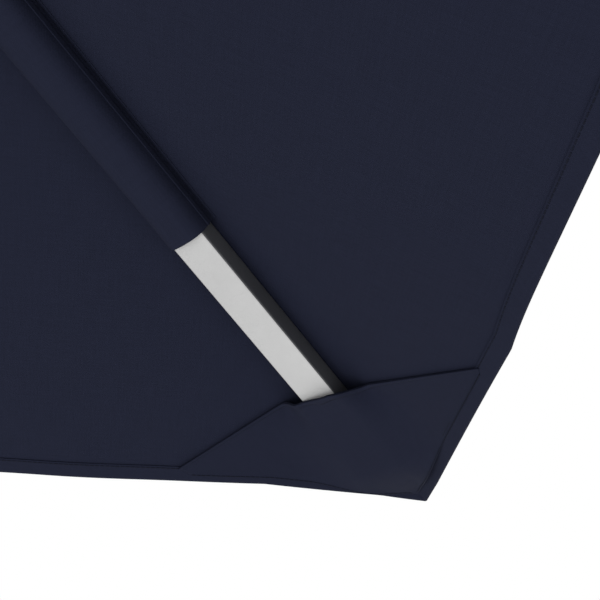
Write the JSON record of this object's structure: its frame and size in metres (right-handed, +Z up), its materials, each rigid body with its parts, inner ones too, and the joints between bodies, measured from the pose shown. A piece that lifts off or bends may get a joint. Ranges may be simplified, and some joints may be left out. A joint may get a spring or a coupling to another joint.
{
  "type": "patio umbrella",
  "caption": "Square centre-pole patio umbrella with crank lift, folding ribs and struts, fabric canopy with corner pockets, and a round weighted base.",
  "frame": {"origin": "middle of the base's underside, on the ground", "axes": "+Z up along the pole; -Y towards the crank; the ribs point to the corners between the X and Y axes"},
  "size_m": [2.0064, 2.0064, 2.5341],
  "materials": {
    "rib_paint": "satin grey powder coat on an extruded tube",
    "frame_paint": "dark charcoal powder coat",
    "strut_paint": "dark charcoal powder coat on aluminium",
    "plastic": "moulded, fine texture",
    "steel": "zinc plated",
    "fabric": "plain-woven navy polyester",
    "cast_base": "textured black coating over cast concrete",
    "rubber": "matt"
  },
  "bodies": {
    "base": {"base_foot_pad": "rubber", "base_weight": "cast_base", "base_flange": "frame_paint", "base_bolt_1": "steel", "base_bolt_2": "steel", "base_bolt_3": "steel", "base_tube": "frame_paint", "pole_bush": "plastic"},
    "clamp_knob": {"base_clamp_knob": "plastic"},
    "mast": {"lower_pole": "frame_paint", "upper_pole": "frame_paint", "pole_collar": "plastic", "pulley_pin": "steel", "crank_housing_front": "plastic", "crank_housing_rear": "plastic", "housing_screw_1": "steel", "housing_screw_2": "steel", "top_hub": "plastic", "hub_pivot_wire": "steel", "crown_patch": "fabric", "crown_cap": "plastic", "finial": "plastic"},
    "pulley": {"top_pulley": "plastic"},
    "crank": {"crank_axle": "steel", "cord_drum": "plastic", "crank_arm": "plastic", "crank_knob_rivet": "steel"},
    "crank_handle": {"crank_knob": "plastic"},
    "runner": {"runner": "plastic"},
    "rib_arm_1": {"rib_1": "rib_paint", "rib_end_plug_1": "plastic", "strut_bracket_1": "strut_paint", "canopy_quarter_1": "fabric", "corner_pocket_1": "fabric", "rib_sleeve_1": "fabric"},
    "strut_arm_1": {"strut_1": "strut_paint"},
    "rib_arm_2": {"rib_2": "rib_paint", "rib_end_plug_2": "plastic", "strut_bracket_2": "strut_paint", "canopy_quarter_2": "fabric", "corner_pocket_2": "fabric", "rib_sleeve_2": "fabric"},
    "strut_arm_2": {"strut_2": "strut_paint"},
    "rib_arm_3": {"rib_3": "rib_paint", "rib_end_plug_3": "plastic", "strut_bracket_3": "strut_paint", "canopy_quarter_3": "fabric", "corner_pocket_3": "fabric", "rib_sleeve_3": "fabric"},
    "strut_arm_3": {"strut_3": "strut_paint"},
    "rib_arm_4": {"rib_4": "rib_paint", "rib_end_plug_4": "plastic", "strut_bracket_4": "strut_paint", "canopy_quarter_4": "fabric", "corner_pocket_4": "fabric", "rib_sleeve_4": "fabric"},
    "strut_arm_4": {"strut_4": "strut_paint"}
  },
  "joints": [
    {"name": "pole_turn", "type": "hinge", "parent": "base", "child": "mast", "pos_m": [0, 0, 0.06], "axis": [0, 0, 1], "range_deg": [-180, 180]},
    {"name": "clamp_knob_turn", "type": "hinge", "parent": "base", "child": "clamp_knob", "pos_m": [0.04, 0, 0.34], "axis": [1, 0, 0], "range_deg": [0, 540]},
    {"name": "runner_slide", "type": "slide", "parent": "mast", "child": "runner", "axis": [0, 0, -1], "range_m": [0, 0.781]},
    {"name": "crank_turn", "type": "hinge", "parent": "mast", "child": "crank", "pos_m": [0, -0.03, 1], "axis": [0, -1, 0], "range_deg": [0, 4712]},
    {"name": "crank_knob_spin", "type": "hinge", "parent": "crank", "child": "crank_handle", "pos_m": [0, -0.075, 0.925], "axis": [0, -1, 0], "continuous": true},
    {"name": "pulley_spin", "type": "hinge", "parent": "mast", "child": "pulley", "pos_m": [0, 0, 2.412], "axis": [1, 0, 0], "range_deg": [0, 4476]},
    {"name": "rib_fold_1", "type": "hinge", "parent": "mast", "child": "rib_arm_1", "pos_m": [0.0297, 0.0297, 2.44], "axis": [-0.7071, 0.7071, 0], "range_deg": [0, 64.1], "deforming": ["canopy_quarter_1", "corner_pocket_1"]},
    {"name": "strut_fold_1", "type": "hinge", "parent": "rib_arm_1", "child": "strut_arm_1", "pos_m": [0.4376, 0.4376, 2.21216], "axis": [-0.7071, 0.7071, 0], "range_deg": [-128.2, 0]},
    {"name": "rib_fold_2", "type": "hinge", "parent": "mast", "child": "rib_arm_2", "pos_m": [-0.0297, 0.0297, 2.44], "axis": [-0.7071, -0.7071, 0], "range_deg": [0, 64.1], "deforming": ["canopy_quarter_2", "corner_pocket_2"]},
    {"name": "strut_fold_2", "type": "hinge", "parent": "rib_arm_2", "child": "strut_arm_2", "pos_m": [-0.4376, 0.4376, 2.21216], "axis": [-0.7071, -0.7071, 0], "range_deg": [-128.2, 0]},
    {"name": "rib_fold_3", "type": "hinge", "parent": "mast", "child": "rib_arm_3", "pos_m": [-0.0297, -0.0297, 2.44], "axis": [0.7071, -0.7071, 0], "range_deg": [0, 64.1], "deforming": ["canopy_quarter_3", "corner_pocket_3"]},
    {"name": "strut_fold_3", "type": "hinge", "parent": "rib_arm_3", "child": "strut_arm_3", "pos_m": [-0.4376, -0.4376, 2.21216], "axis": [0.7071, -0.7071, 0], "range_deg": [-128.2, 0]},
    {"name": "rib_fold_4", "type": "hinge", "parent": "mast", "child": "rib_arm_4", "pos_m": [0.0297, -0.0297, 2.44], "axis": [0.7071, 0.7071, 0], "range_deg": [0, 64.1], "deforming": ["canopy_quarter_4", "corner_pocket_4"]},
    {"name": "strut_fold_4", "type": "hinge", "parent": "rib_arm_4", "child": "strut_arm_4", "pos_m": [0.4376, -0.4376, 2.21216], "axis": [0.7071, 0.7071, 0], "range_deg": [-128.2, 0]}
  ],
  "couplings": [
    {"joint": "crank_turn", "follows": "runner_slide", "rad_per_m": 105.26},
    {"joint": "pulley_spin", "follows": "runner_slide", "rad_per_m": 100},
    {"joint": "rib_fold_1", "follows": "runner_slide", "rad_per_m": 1.4302},
    {"joint": "strut_fold_1", "follows": "runner_slide", "rad_per_m": -2.8605},
    {"joint": "rib_fold_2", "follows": "runner_slide", "rad_per_m": 1.4302},
    {"joint": "strut_fold_2", "follows": "runner_slide", "rad_per_m": -2.8605},
    {"joint": "rib_fold_3", "follows": "runner_slide", "rad_per_m": 1.4302},
    {"joint": "strut_fold_3", "follows": "runner_slide", "rad_per_m": -2.8605},
    {"joint": "rib_fold_4", "follows": "runner_slide", "rad_per_m": 1.4302},
    {"joint": "strut_fold_4", "follows": "runner_slide", "rad_per_m": -2.8605}
  ]
}
